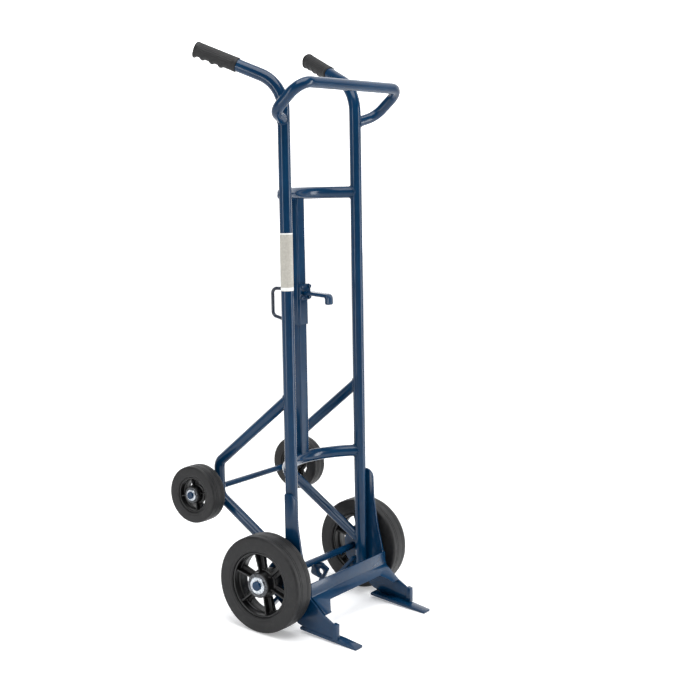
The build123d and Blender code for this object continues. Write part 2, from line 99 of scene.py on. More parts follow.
# ---- materials ----
def linear(hex_colour: str) -> tuple[float, float, float, float]:
    """Turns an sRGB hex colour into the linear colour that a shader takes.

    Args:
        hex_colour: six hex digits, such as "1b3a5c".

    Returns:
        Red, green, blue and an alpha of one.
    """
    channels = [int(hex_colour[i:i + 2], 16) / 255 for i in (0, 2, 4)]
    curve = [c / 12.92 if c <= 0.04045 else ((c + 0.055) / 1.055) ** 2.4 for c in channels]
    return (*curve, 1.0)


def add_node(tree: bpy.types.NodeTree, kind: str, sockets: dict | None = None,
             **settings: object) -> bpy.types.Node:
    """Adds one shader node.

    Args:
        tree: the material's node tree.
        kind: the node's type name.
        sockets: for each input, a value to set or another node's output to link.
        **settings: the node's own properties.

    Returns:
        The new node.
    """
    node = tree.nodes.new(kind)
    for name, value in settings.items():
        setattr(node, name, value)
    for key, value in (sockets or {}).items():
        if isinstance(value, bpy.types.NodeSocket):
            tree.links.new(value, node.inputs[key])
        else:
            node.inputs[key].default_value = value
    return node


@dataclass(frozen=True)
class Finish:
    """One real surface: two close colours, a patchy gloss and a fine relief.

    Sizes are in millimetres on the real thing. A band colour, where there is one, fills what lies
    outside band_ends, which are metres along the slide direction.
    """

    name: str
    colour: str
    shade: str
    gloss: tuple[float, float]
    patch_mm: float
    grain_mm: float
    grain_depth_mm: float
    grain_strength: float = 0.3
    metallic: float = 0.0
    coat: float = 0.0
    coat_roughness: float = 0.08
    speck: str = ""
    speck_mm: float = 9.0
    speck_share: float = 0.3
    specular: float = 0.5
    band: str = ""
    band_ends: tuple[float, float] = (0.881, 1.014)
    slide: tuple[float, float, float] = (0.0, 0.0852, 0.9964)

    def build(self) -> bpy.types.Material:
        """Returns the finish as a node material on object coordinates."""
        material = bpy.data.materials.new(self.name)
        material.use_nodes = True
        tree = material.node_tree
        tree.nodes.clear()
        place = add_node(tree, "ShaderNodeTexCoord").outputs["Object"]
        patches = add_node(tree, "ShaderNodeTexNoise", {
            "Vector": place, "Scale": 1 / (self.patch_mm * MM), "Detail": 4.0, "Roughness": 0.6})
        grain = add_node(tree, "ShaderNodeTexNoise", {
            "Vector": place, "Scale": 1 / (self.grain_mm * MM), "Detail": 3.0, "Roughness": 0.55})
        spread = add_node(tree, "ShaderNodeMapRange", {
            "Value": patches.outputs["Fac"], "From Min": 0.35, "From Max": 0.65})
        colour = add_node(tree, "ShaderNodeMix", {
            0: spread.outputs["Result"], 6: linear(self.shade), 7: linear(self.colour)},
            data_type="RGBA").outputs[2]
        if self.speck:
            colour = self.specked(tree, place, colour)
        if self.band:
            colour = self.banded(tree, place, colour)
        gloss = add_node(tree, "ShaderNodeMapRange", {
            "Value": patches.outputs["Fac"], "From Min": 0.3, "From Max": 0.7,
            "To Min": self.gloss[0], "To Max": self.gloss[1]})
        relief = add_node(tree, "ShaderNodeBump", {
            "Height": grain.outputs["Fac"], "Strength": self.grain_strength,
            "Distance": self.grain_depth_mm * MM})
        shader = add_node(tree, "ShaderNodeBsdfPrincipled", {
            "Base Color": colour, "Roughness": gloss.outputs["Result"],
            "Metallic": self.metallic, "Specular IOR Level": self.specular,
            "Coat Weight": self.coat, "Coat Roughness": self.coat_roughness,
            "Normal": relief.outputs["Normal"]})
        add_node(tree, "ShaderNodeOutputMaterial", {"Surface": shader.outputs["BSDF"]})
        return material

    def specked(self, tree: bpy.types.NodeTree, place: bpy.types.NodeSocket,
                colour: bpy.types.NodeSocket) -> bpy.types.NodeSocket:
        """Lays uneven dust or scuffs over the colour.

        Args:
            tree: the material's node tree.
            place: the object coordinates.
            colour: the colour beneath.

        Returns:
            The colour with the specks on it.
        """
        dust = add_node(tree, "ShaderNodeTexNoise", {
            "Vector": place, "Scale": 1 / (self.speck_mm * MM), "Detail": 8.0, "Roughness": 0.7})
        amount = add_node(tree, "ShaderNodeMapRange", {
            "Value": dust.outputs["Fac"], "From Min": 0.52, "From Max": 0.74,
            "To Max": self.speck_share})
        return add_node(tree, "ShaderNodeMix", {
            0: amount.outputs["Result"], 6: colour, 7: linear(self.speck)},
            data_type="RGBA").outputs[2]

    def banded(self, tree: bpy.types.NodeTree, place: bpy.types.NodeSocket,
               colour: bpy.types.NodeSocket) -> bpy.types.NodeSocket:
        """Leaves a pale plain margin at both ends of the sticker.

        Args:
            tree: the material's node tree.
            place: the object coordinates.
            colour: the colour between the margins.

        Returns:
            The colour with its margins.
        """
        along = add_node(tree, "ShaderNodeVectorMath", {0: place, 1: self.slide},
                         operation="DOT_PRODUCT").outputs["Value"]
        low, high = self.band_ends
        middle = add_node(tree, "ShaderNodeMath", {0: along, 1: (low + high) / 2},
                          operation="SUBTRACT").outputs[0]
        margin = add_node(tree, "ShaderNodeMath", {
            0: add_node(tree, "ShaderNodeMath", {0: middle}, operation="ABSOLUTE").outputs[0],
            1: (high - low) / 2}, operation="GREATER_THAN").outputs[0]
        return add_node(tree, "ShaderNodeMix", {0: margin, 6: colour, 7: linear(self.band)},
                        data_type="RGBA").outputs[2]


FINISHES = {
    # Powder-coated steel: deep navy, glossy, with the faint orange peel of a baked coat.
    Slot.BLUE: Finish("blue_powder_coat", "04304f", "032845", (0.14, 0.22), 160, 3.0, 0.04,
                      grain_strength=0.08, coat=0.12, specular=0.25, speck="275070", speck_mm=20.0,
                      speck_share=0.08),
    # Cold-bent rod in a darker, thinner coat of the same enamel.
    Slot.DARK: Finish("dark_blue_enamel", "101f33", "0a1626", (0.2, 0.32), 40, 2.0, 0.05,
                      coat=0.2, speck="2b3b50", speck_share=0.12),
    # Sand-cast iron under black paint: a fine pebbled skin that breaks the gloss.
    Slot.HUB: Finish("black_painted_casting", "0a0a0b", "050506", (0.34, 0.5), 30, 1.3, 0.25,
                     grain_strength=0.5, speck="2c2c2d", speck_mm=3.0, speck_share=0.2),
    # Moulded solid rubber: satin dark grey with a little bloom.
    Slot.TYRE: Finish("moulded_tyre_rubber", "1f1f20", "171718", (0.42, 0.6), 35, 0.9, 0.12,
                      grain_strength=0.3, specular=0.3, speck="3a3938", speck_mm=14.0,
                      speck_share=0.35),
    # Soft ribbed rubber, matt, slightly lighter where it has been handled.
    Slot.GRIP: Finish("ribbed_grip_rubber", "1f1f20", "161617", (0.5, 0.68), 18, 0.8, 0.12,
                      grain_strength=0.4, specular=0.35, speck="3a3a3b", speck_mm=6.0,
                      speck_share=0.25),
    # Oiled bearing steel, ground and slightly dark.
    Slot.BEARING: Finish("ground_bearing_steel", "6d6f72", "3f4144", (0.24, 0.4), 5, 0.7, 0.03,
                         metallic=1.0),
    # Bright zinc plate: silvery and softly mottled.
    Slot.ZINC: Finish("bright_zinc_plate", "d3d8dd", "a9afb6", (0.2, 0.36), 5, 1.2, 0.03,
                      metallic=1.0),
    # Vinyl sticker: off-white with a faint paper tooth.
    Slot.LABEL: Finish("off_white_vinyl", "b4b1a8", "a6a299", (0.42, 0.55), 5, 0.9, 0.03,
                       speck="8b877e", speck_mm=3.0, speck_share=0.5, band="e6e6e3"),
}


class Palette:
    """Builds each material once and hands it out."""

    def __init__(self) -> None:
        """Makes every finish."""
        self.made = {slot: finish.build() for slot, finish in FINISHES.items()}

    def dress(self, piece: bpy.types.Object, slot: Slot) -> None:
        """Gives a piece one finish all over.

        Args:
            piece: the mesh to dress.
            slot: its finish.
        """
        piece.data.materials.clear()
        piece.data.materials.append(self.made[slot])

    def dress_cad(self) -> None:
        """Gives every CAD node the finish that the record names for it."""
        slots = {row["node"]: row["material_slot"] for row in frame["record"]["subparts"]}
        for name, node in frame["nodes"].items():
            self.dress(node, Slot(slots[name]))


# ---- working in edit mode ----
def take(piece: bpy.types.Object) -> None:
    """Makes a piece the only selected and the active one."""
    if bpy.context.object and bpy.context.object.mode != "OBJECT":
        bpy.ops.object.mode_set(mode="OBJECT")
    bpy.ops.object.select_all(action="DESELECT")
    piece.select_set(True)
    bpy.context.view_layer.objects.active = piece


@contextmanager
def editing(piece: bpy.types.Object) -> Iterator[None]:
    """Opens a piece in edit mode, all selected, and closes it again."""
    take(piece)
    bpy.ops.object.mode_set(mode="EDIT")
    bpy.ops.mesh.select_all(action="SELECT")
    yield
    bpy.ops.object.mode_set(mode="OBJECT")


def pick(piece: bpy.types.Object, wanted: Callable[[Vector], bool], faces: bool = False) -> None:
    """Selects a piece's points or faces by place; the piece is left in edit mode.

    Args:
        piece: the mesh, open in edit mode.
        wanted: says whether a point, or a face's middle, is wanted.
        faces: whether faces are picked instead of points.
    """
    bpy.ops.mesh.select_mode(type="FACE" if faces else "VERT")
    bpy.ops.mesh.select_all(action="DESELECT")
    bpy.ops.object.mode_set(mode="OBJECT")
    for item in piece.data.polygons if faces else piece.data.vertices:
        item.select = wanted(item.center if faces else item.co)
    bpy.ops.object.mode_set(mode="EDIT")


def with_modifier(piece: bpy.types.Object, kind: str, **settings: object) -> None:
    """Adds a modifier to a piece and applies it.

    Args:
        piece: the mesh.
        kind: the modifier's type name.
        **settings: its properties.
    """
    take(piece)
    modifier = piece.modifiers.new(kind.lower(), kind)
    for name, value in settings.items():
        setattr(modifier, name, value)
    bpy.ops.object.modifier_apply(modifier=modifier.name)


def smooth(piece: bpy.types.Object, degrees: float = 35.0) -> None:
    """Shades a piece smooth except across edges sharper than an angle."""
    take(piece)
    bpy.ops.object.shade_smooth_by_angle(angle=math.radians(degrees))


def joined(pieces: list[bpy.types.Object]) -> bpy.types.Object:
    """Joins several meshes into the first one and returns it."""
    take(pieces[0])
    for piece in pieces[1:]:
        piece.select_set(True)
    bpy.ops.object.join()
    return bpy.context.object


def moved_copy(piece: bpy.types.Object, move: Matrix) -> bpy.types.Object:
    """Copies a piece with its own mesh, and moves the copy's mesh.

    Args:
        piece: the mesh to copy.
        move: where the copy goes.

    Returns:
        The copy, its object still at the origin.
    """
    take(piece)
    bpy.ops.object.duplicate()
    copy = bpy.context.object
    copy.data.transform(move)
    if move.determinant() < 0:
        with editing(copy):
            bpy.ops.mesh.normals_make_consistent(inside=False)
    return copy


def about(centre: Vector, degrees: float) -> Matrix:
    """Returns a turn about a line along X through a point, leaning backwards when positive."""
    return (Matrix.Translation(centre) @ Matrix.Rotation(-math.radians(degrees), 4, "X")
            @ Matrix.Translation(-centre))


def round_corners(corners: list[tuple[float, float, float]],
                  steps: int = 4) -> list[tuple[float, float]]:
    """Rounds the corners of a closed outline.

    Args:
        corners: each corner as (x, y, radius); a radius of zero stays sharp.
        steps: the number of stretches in each rounded corner.

    Returns:
        The outline's points.
    """
    points: list[tuple[float, float]] = []
    for index, (x, y, radius) in enumerate(corners):
        here = Vector((x, y))
        if radius <= 0:
            points.append((x, y))
            continue
        before = Vector(corners[index - 1][:2]) - here
        after = Vector(corners[(index + 1) % len(corners)][:2]) - here
        before.normalize()
        after.normalize()
        half = before.angle(after) / 2
        run = min(radius / math.tan(half), 0.49 * (Vector(corners[index - 1][:2]) - here).length,
                  0.49 * (Vector(corners[(index + 1) % len(corners)][:2]) - here).length)
        middle = here + (before + after).normalized() * (run / math.cos(half))
        start = here + before * run - middle
        turn = start.angle_signed(here + after * run - middle)
        for step in range(steps + 1):
            arm = start.copy()
            arm.rotate(Matrix.Rotation(-turn * step / steps, 2))
            points.append(tuple(middle + arm))
    return points


def spin_outline(outline: list[tuple[float, float]], centre: Vector,
                 steps: int = 96) -> bpy.types.Object:
    """Spins a closed outline round a line along X.

    Args:
        outline: (x, radius) points in millimetres from the centre.
        centre: a point on the line.
        steps: the number of stretches round.

    Returns:
        The ring-shaped piece.
    """
    bpy.ops.object.select_all(action="DESELECT")
    bpy.ops.mesh.primitive_circle_add(vertices=len(outline))
    piece = bpy.context.object
    for vertex, (x, radius) in zip(piece.data.vertices, outline):
        vertex.co = centre + Vector((x, 0, radius)) * MM
    with editing(piece):
        bpy.ops.mesh.spin(steps=steps, angle=math.tau, center=centre, axis=(1, 0, 0))
        bpy.ops.mesh.select_all(action="SELECT")
        bpy.ops.mesh.remove_doubles(threshold=0.005 * MM)
        bpy.ops.mesh.normals_make_consistent(inside=False)
    return piece


@dataclass(frozen=True)
class TruckAxes:
    """The truck's own axes in millimetres: Z along the uprights, Y backwards from them."""

    front_axle_y: float = 39.4
    front_axle_z: float = 127.0

    def matrix(self) -> Matrix:
        """Returns the placing of the truck's axes on the floor, in metres."""
        low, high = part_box("front_axle")
        slide = next(j for j in frame["joints"] if j["name"] == "hook_slide")["axis"]
        lean = math.atan2(slide[1], slide[2])
        own = Vector((0, self.front_axle_y, self.front_axle_z)) * MM
        return (Matrix.Translation((low + high) / 2) @ Matrix.Rotation(-lean, 4, "X")
                @ Matrix.Translation(-own))

    def place(self, x: float, y: float, z: float) -> Vector:
        """Returns a point given in the truck's millimetres."""
        return self.matrix() @ (Vector((x, y, z)) * MM)


@dataclass
class Maker:
    """Finishes pieces: material, body, slot and the CAD nodes they stand for."""

    palette: Palette
    mirror: Matrix = field(default_factory=lambda: Matrix.Scale(-1, 4, (1, 0, 0)))

    def finish(self, piece: bpy.types.Object, name: str, body: str, slot: Slot,
               stands_for: tuple[str, ...] = ()) -> bpy.types.Object:
        """Names, dresses and mounts a finished piece.

        Args:
            piece: the mesh, in place.
            name: the piece's name.
            body: the body it moves with.
            slot: its finish.
            stands_for: the CAD nodes that it replaces.

        Returns:
            The piece.
        """
        piece.name = name
        piece.data.name = name
        self.palette.dress(piece, slot)
        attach(piece, body)
        if stands_for:
            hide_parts(*stands_for)
        log.info("%s on %s: %d faces", name, body, len(piece.data.polygons))
        return piece


# ---- wheels ----
@dataclass(frozen=True)
class WheelSizes:
    """One wheel's sizes in millimetres; a rib stands on the middle of each spoke."""

    rim_radius: float
    rim_thick: float
    boss_radius: float
    bore_radius: float
    spokes: int
    spoke_width: float
    web: float
    rib: float
    turn: float
    shoulder: float
    voxel: float
    knurls: int


FRONT_WHEEL = WheelSizes(rim_radius=86, rim_thick=6, boss_radius=33, bore_radius=25, spokes=6,
                         spoke_width=23, web=8, rib=5, turn=15.8, shoulder=11, voxel=1.25,
                         knurls=36)
REAR_WHEEL = WheelSizes(rim_radius=47, rim_thick=4.5, boss_radius=22.5, bore_radius=15, spokes=4,
                        spoke_width=16, web=6, rib=3.5, turn=17.0, shoulder=8, voxel=0.95,
                        knurls=30)


class Wheel:
    """A solid tyre on a cast, ribbed hub."""

    def __init__(self, prefix: str, sizes: WheelSizes, maker: Maker) -> None:
        """Measures the wheel's CAD nodes.

        Args:
            prefix: the start of its nodes' names, such as front_right.
            sizes: the sizes that its boxes don't give.
            maker: what finishes the pieces.
        """
        self.prefix, self.sizes, self.maker = prefix, sizes, maker
        low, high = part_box(f"{prefix}_tyre")
        self.centre = (low + high) / 2
        self.radius = (high.z - low.z) / 2 / MM
        self.width = (high.x - low.x) / MM
        hub_low, hub_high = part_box(f"{prefix}_hub")
        self.boss_width = (hub_high.x - hub_low.x) / MM
        self.outward = 1 if self.centre.x > 0 else -1

    def build(self) -> None:
        """Makes the tyre and the hub."""
        body = f"{self.prefix}_wheel"
        self.maker.finish(self.tyre(), f"{self.prefix}_solid_tyre", body, Slot.TYRE,
                          (f"{self.prefix}_tyre",))
        self.maker.finish(self.hub(), f"{self.prefix}_cast_hub", body, Slot.HUB,
                          (f"{self.prefix}_hub",))
        self.maker.finish(self.knurled_ring(), f"{self.prefix}_knurled_ring", body, Slot.BEARING)

    def tyre(self) -> bpy.types.Object:
        """Spins the tyre: a crowned tread with fine moulded lines beside each shoulder."""
        half, top, rim = self.width / 2, self.radius, self.sizes.rim_radius
        shoulder = self.sizes.shoulder
        side = [(half - 3, rim, 0.0), (half - 0.6, rim + 3, 1.5), (half - 0.6, rim + 7, 1.0),
                (half, rim + 8.5, 1.0), (half, top - 0.8, shoulder),
                (half - shoulder - 2, top - 0.5, 0)]
        for line_x in (half - shoulder - 3.5, half - shoulder - 9):
            side += [(line_x, top - 0.4, 0), (line_x - 0.7, top - 1.5, 0),
                     (line_x - 1.4, top - 0.3, 0)]
        whole = side + [(0, top, 0)] + [(-x, r, c) for x, r, c in reversed(side)]
        piece = spin_outline(round_corners(whole, steps=6), self.centre, steps=128)
        smooth(piece, 40)
        return piece

    def ring(self, x_from: float, x_to: float, r_in: float, r_out: float,
             corner: float) -> bpy.types.Object:
        """Spins a plain ring with rounded edges, in millimetres from the wheel's middle."""
        outline = [(x_from, r_in, corner), (x_to, r_in, corner), (x_to, r_out, corner),
                   (x_from, r_out, corner)]
        return spin_outline(round_corners(outline, 2), self.centre, steps=96)

    def bar(self, thick: float, width: float, r_from: float, r_to: float,
            flare: float) -> bpy.types.Object:
        """Makes an upright bar from the boss to the rim, wider at its outer end.

        Args:
            thick: its size along the axle.
            width: its size across.
            r_from: the radius where it starts.
            r_to: the radius where it ends.
            flare: how much thicker along the axle its outer end is, as a factor.

        Returns:
            The bar.
        """
        middle = self.centre + Vector((0, 0, (r_from + r_to) / 2)) * MM
        bpy.ops.object.select_all(action="DESELECT")
        bpy.ops.mesh.primitive_cube_add(size=1, location=middle)
        piece = bpy.context.object
        take(piece)
        bpy.ops.object.transform_apply(location=True, rotation=False, scale=False)
        with editing(piece):
            bpy.ops.transform.resize(value=(thick * MM, width * MM, (r_to - r_from) * MM),
                                     center_override=middle)
            pick(piece, lambda co: co.z > middle.z)
            bpy.ops.transform.resize(value=(flare, 1, 1), center_override=middle)
        return piece

    def hub(self) -> bpy.types.Object:
        """Builds the rim, boss, spokes and ribs, and melts them into one casting."""
        sizes = self.sizes
        rim_half, boss_half = self.width * 0.43, self.boss_width / 2
        inner = sizes.rim_radius - sizes.rim_thick
        parts = [
            self.ring(-rim_half, rim_half, inner, sizes.rim_radius - 0.2, 1.5),
            self.ring(-sizes.web, sizes.web, inner - 4, inner + 2, 1.5),
            self.ring(-boss_half, boss_half, sizes.bore_radius, sizes.boss_radius, 2.0),
            self.ring(-sizes.web * 0.9, sizes.web * 0.9, sizes.bore_radius + 1,
                      sizes.boss_radius + 5, 2.0)]
        spoke = joined([
            self.bar(sizes.web, sizes.spoke_width, sizes.boss_radius - 3, inner + 2, 1.0),
            self.bar(rim_half * 1.25, sizes.rib, sizes.boss_radius - 3, inner + 2, 1.3)])
        step = 360 / sizes.spokes
        parts += [moved_copy(spoke, about(self.centre, sizes.turn + step * index))
                  for index in range(sizes.spokes)]
        bpy.data.objects.remove(spoke)
        piece = joined(parts)
        with_modifier(piece, "REMESH", mode="VOXEL", voxel_size=sizes.voxel * MM)
        with_modifier(piece, "SMOOTH", factor=0.5, iterations=5)
        with_modifier(piece, "DECIMATE", ratio=0.45)
        smooth(piece, 60)
        return piece

    def knurled_ring(self) -> bpy.types.Object:
        """Makes the notched ring on the outer end of the boss."""
        sizes = self.sizes
        start, end = self.boss_width / 2 - 1.2, self.boss_width / 2 + 0.6
        x_from, x_to = sorted((self.outward * start, self.outward * end))
        r_in, r_out = sizes.bore_radius - 1.0, sizes.boss_radius - 2.0
        outline = [(x_from, r_in), (x_to, r_in), (x_to, r_out), (x_from, r_out)]
        piece = spin_outline(outline, self.centre, steps=2 * sizes.knurls)
        step = math.pi / sizes.knurls
        face_x = self.centre.x + self.outward * end * MM

        def tooth(middle: Vector) -> bool:
            """Says whether a face is every second one on the outer side."""
            angle = math.atan2(middle.y - self.centre.y, middle.z - self.centre.z)
            return abs(middle.x - face_x) < 0.05 * MM and int(angle / step + 200.001) % 2 == 0

        with editing(piece):
            pick(piece, tooth, faces=True)
            bpy.ops.mesh.inset(thickness=0.35 * MM, use_individual=True)
            bpy.ops.mesh.extrude_region_move(
                TRANSFORM_OT_translate={"value": (self.outward * 0.9 * MM, 0, 0)})
        smooth(piece, 30)
        return piece


@dataclass
class AxleEnds:
    """The stepped zinc washers at the ends of one axle, in millimetres."""

    prefix: str
    bore: float
    step: float
    maker: Maker

    def build(self) -> None:
        """Spins one washer, mirrors it to the other end and finishes the pair."""
        low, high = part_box(f"{self.prefix}_washers")
        centre = (low + high) / 2
        outer, radius = high.x / MM, (high.z - low.z) / 2 / MM
        inner = outer - 3.0
        raised = self.bore + self.step
        outline = [(inner, self.bore, 0), (outer, self.bore, 0), (outer, raised, 0.3),
                   (outer - 0.9, raised + 0.9, 0.3), (outer - 0.9, radius - 3.4, 0.3),
                   (outer - 0.2, radius - 2.4, 0.4), (outer - 0.2, radius - 0.9, 0.4),
                   (outer - 1.2, radius, 0.4), (inner, radius, 0.3)]
        one = spin_outline(round_corners(outline, 3), Vector((0, centre.y, centre.z)), steps=96)
        pair = joined([one, moved_copy(one, self.maker.mirror)])
        smooth(pair, 30)
        self.maker.finish(pair, f"{self.prefix}_stepped_washers", "frame", Slot.ZINC,
                          (f"{self.prefix}_washers",))


# ---- grips ----
@dataclass
class Grip:
    """The right-hand rubber grip and its mirror image, in the truck's millimetres."""

    axes: TruckAxes
    maker: Maker
    upright_x: float = 157.0
    corner_z: float = 1388.0
    rise: float = 22.5
    splay: float = 20.5
    reach: float = 240.0
    overhang: float = 4.0
    length: float = 118.0
    tube_radius: float = 15.875
    wall: float = 2.4
    flutes: int = 26
    nub_start: float = 26.0
    nub_pitch: float = 26.0
    nubs: int = 3
    nub_drop: float = 4.0

    def local(self) -> Matrix:
        """Returns the grip's own place: origin at its closed end, Z towards its mouth, Y down."""
        rise, splay = math.radians(self.rise), math.radians(self.splay)
        along = Vector((-math.sin(splay) * math.cos(rise), math.cos(splay) * math.cos(rise),
                        math.sin(rise)))
        end = Vector((-self.upright_x, 0, self.corner_z)) + along * (self.reach + self.overhang)
        z_axis = -along
        x_axis = Vector((0, 0, 1)).cross(along).normalized()
        y_axis = z_axis.cross(x_axis)
        turn = Matrix((x_axis, y_axis, z_axis)).transposed().to_4x4()
        return self.axes.matrix() @ Matrix.Translation(end * MM) @ turn

    def stations(self) -> list[tuple[float, float]]:
        """Returns (distance from the closed end, radius) of each ring of the grip."""
        radius = self.tube_radius + self.wall
        rings = [(0.6, radius - 1.6), (1.8, radius - 0.2), (3.4, radius + 0.5), (6.0, radius + 0.5),
                 (7.2, radius - 0.3)]
        body_from, body_to = 8.5, self.length - 11
        count = 48
        rings += [(body_from + (body_to - body_from) * i / count, radius) for i in range(count + 1)]
        rings += [(self.length - 10, radius - 0.4), (self.length - 9, radius + 0.3),
                  (self.length - 1.5, radius + 0.3), (self.length, radius - 0.8),
                  (self.length, self.tube_radius + 0.05),
                  (self.length - 6, self.tube_radius + 0.05)]
        return rings

    def build(self) -> None:
        """Extrudes the grip ring by ring, flutes it, pulls its finger nubs down and mirrors it."""
        bpy.ops.object.select_all(action="DESELECT")
        points = 4 * self.flutes
        bpy.ops.mesh.primitive_circle_add(vertices=points, radius=5 * MM, fill_type="NGON")
        piece = bpy.context.object
        with editing(piece):
            bpy.ops.mesh.select_mode(type="EDGE")
            bpy.ops.mesh.delete(type="ONLY_FACE")
            bpy.ops.mesh.select_all(action="SELECT")
            height, radius = 0.0, 5.0
            for z, r in self.stations():
                bpy.ops.mesh.extrude_edges_move(
                    TRANSFORM_OT_translate={"value": (0, 0, (z - height) * MM)})
                bpy.ops.transform.resize(value=(r / radius, r / radius, 1),
                                         center_override=(0, 0, z * MM))
                height, radius = z, r
            pick(piece, lambda co: co.z < 0.1 * MM)
            bpy.ops.mesh.edge_face_add()
            bpy.ops.mesh.select_all(action="SELECT")
            bpy.ops.mesh.normals_make_consistent(inside=False)
            self.cut_flutes(piece)
            self.pull_nubs(piece)
        smooth(piece, 50)
        mirrored = moved_copy(piece, self.axes_mirror())
        piece.data.transform(self.local())
        self.maker.finish(piece, "right_ribbed_grip", "frame", Slot.GRIP, ("right_grip",))
        self.maker.finish(mirrored, "left_ribbed_grip", "frame", Slot.GRIP, ("left_grip",))

    def axes_mirror(self) -> Matrix:
        """Returns the move from the grip's own place to the left-hand side."""
        return self.maker.mirror @ self.local()

    def cut_flutes(self, piece: bpy.types.Object) -> None:
        """Sinks every second strip of the grip's body, save where the fingers go."""
        step = math.tau / self.flutes
        body_from, body_to = 8.5 * MM, (self.length - 11) * MM

        def in_flute(co: Vector) -> bool:
            """Says whether a point lies in the floor of a flute."""
            angle = math.atan2(co.x, -co.y)
            outside = math.hypot(co.x, co.y) > (self.tube_radius + 1.5) * MM
            near = abs((angle / step) - round(angle / step)) < 0.3
            return near and outside and body_from < co.z < body_to and abs(angle) < 2.0

        pick(piece, in_flute)
        bpy.ops.transform.resize(value=(0.965, 0.965, 1), center_override=(0, 0, 0))

    def pull_nubs(self, piece: bpy.types.Object) -> None:
        """Pulls the finger nubs and the end lip down, with a soft fall-off."""
        for index in range(self.nubs + 1):
            place = self.nub_start + self.nub_pitch * (index - 1)
            drop = self.nub_drop + (1.0 if index == 0 else 0.0)
            height = max(place, 3.0)
            underside = 0.72 * self.tube_radius * MM
            pick(piece, lambda co: abs(co.z / MM - height) < 2.2 and co.y > underside)
            bpy.ops.transform.translate(value=(0, drop * MM, 0), use_proportional_edit=True,
                                        proportional_edit_falloff="SMOOTH",
                                        proportional_size=7.5 * MM)


# ---- plates, blocks and bars cut from steel ----
@dataclass
class SteelParts:
    """Copies of the flat CAD parts with the small broken edges that real steel has."""

    maker: Maker
    edges: dict[str, tuple[str, float]] = field(default_factory=lambda: {
        "side_plate": ("frame", 0.7), "toe": ("frame", 0.9), "toe_post": ("frame", 0.8),
        "stand_leg": ("frame", 0.7), "stand_pad": ("frame", 0.9)})
    singles: dict[str, tuple[str, float]] = field(default_factory=lambda: {
        "cross_plate": ("frame", 0.7), "axle_lug": ("frame", 0.8), "mast": ("frame", 0.4),
        "carriage_sleeve": ("hook_carriage", 0.5), "hook_bracket": ("hook_carriage", 0.8),
        "hook_arm": ("hook_carriage", 1.0), "bracket_bolts": ("hook_carriage", 0.4)})

    def build(self) -> None:
        """Softens each listed part."""
        for part, (body, width) in self.edges.items():
            for side in ("right", "left"):
                self.soften(f"{side}_{part}", body, width)
        for node, (body, width) in self.singles.items():
            self.soften(node, body, width)

    def soften(self, node: str, body: str, width: float) -> None:
        """Copies a CAD node, merges its faces and rounds its edges.

        Args:
            node: the CAD node.
            body: the body it moves with.
            width: the edge rounding in millimetres.
        """
        source = frame["nodes"][node]
        take(source)
        bpy.ops.object.duplicate()
        piece = bpy.context.object
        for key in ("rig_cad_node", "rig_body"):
            del piece[key]
        piece.parent = None
        with editing(piece):
            bpy.ops.mesh.customdata_custom_splitnormals_clear()
            bpy.ops.mesh.remove_doubles(threshold=0.01 * MM)
            bpy.ops.mesh.dissolve_limited(angle_limit=math.radians(1.0))
        with_modifier(piece, "BEVEL", width=width * MM, segments=2, limit_method="ANGLE",
                      angle_limit=math.radians(38), harden_normals=False)
        smooth(piece, 40)
        self.maker.finish(piece, f"{node}_steel", body, Slot.BLUE, (node,))


# ---- welds ----
@dataclass(frozen=True)
class Joint:
    """A round tube welded on the side of an upright, in the truck's millimetres."""

    name: str
    height: float
    y: float
    direction: tuple[float, float, float]
    radius: float


